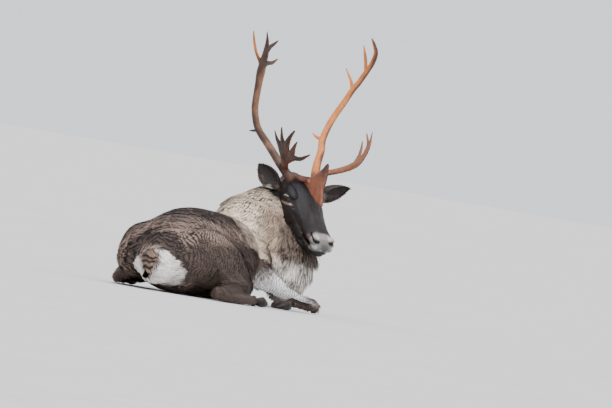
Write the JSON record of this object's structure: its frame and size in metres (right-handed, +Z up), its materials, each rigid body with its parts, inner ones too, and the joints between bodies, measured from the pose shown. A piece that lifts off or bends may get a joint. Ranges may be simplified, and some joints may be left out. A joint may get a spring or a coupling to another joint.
{
  "type": "lying reindeer bull, life-size still model",
  "caption": "Life-size still reindeer bull lying with folded legs, head turned back over the right shoulder, with hard branched antlers.",
  "frame": {"origin": "middle of the bounding box at ground level", "axes": "+X runs forward along the trunk from tail to breast, +Y to the animal's left, +Z up"},
  "size_m": [1.3682, 0.8034, 1.2012],
  "materials": {
    "coat": "short dense brown fur, damp and clumped in wavy rows",
    "mane": "long cream to grey-white mane hair in flat overlapping locks",
    "face": "very short near-black face fur with a pale grey muzzle",
    "leg": "short fur, grey on the forearm and dark brown below",
    "hoof": "worn black horn with fine growth lines",
    "eye": "wet dark brown eye",
    "antler": "hard stripped antler, orange tan with red-brown stained palms and grooves"
  },
  "bodies": {
    "root": {"antler_left_base": "antler", "antler_left_beam": "antler", "antler_left_bez": "antler", "antler_left_brow": "antler", "antler_left_crown": "antler", "antler_right_base": "antler", "antler_right_beam": "antler", "antler_right_bez": "antler", "antler_right_brow": "antler", "antler_right_crown": "antler", "belly": "coat", "cannon_fore_left": "leg", "cannon_fore_right": "leg", "cannon_hind_left": "leg", "cannon_hind_right": "leg", "chest": "coat", "dewclaw_fore_left_inner": "hoof", "dewclaw_fore_left_outer": "hoof", "dewclaw_fore_right_inner": "hoof", "dewclaw_fore_right_outer": "hoof", "dewclaw_hind_left_inner": "hoof", "dewclaw_hind_left_outer": "hoof", "dewclaw_hind_right_inner": "hoof", "dewclaw_hind_right_outer": "hoof", "ear_left": "face", "ear_right": "face", "eye_left": "eye", "eye_right": "eye", "forearm_left": "leg", "forearm_right": "leg", "head": "face", "hindquarters": "coat", "jaw": "face", "neck": "mane", "shank_left": "coat", "shank_right": "coat", "tail": "coat", "thigh_left": "coat", "thigh_right": "coat", "throat_mane": "mane", "toe_fore_left_inner": "hoof", "toe_fore_left_outer": "hoof", "toe_fore_right_inner": "hoof", "toe_fore_right_outer": "hoof", "toe_hind_left_inner": "hoof", "toe_hind_left_outer": "hoof", "toe_hind_right_inner": "hoof", "toe_hind_right_outer": "hoof", "upper_arm_left": "coat", "upper_arm_right": "coat"}
  },
  "joints": []
}
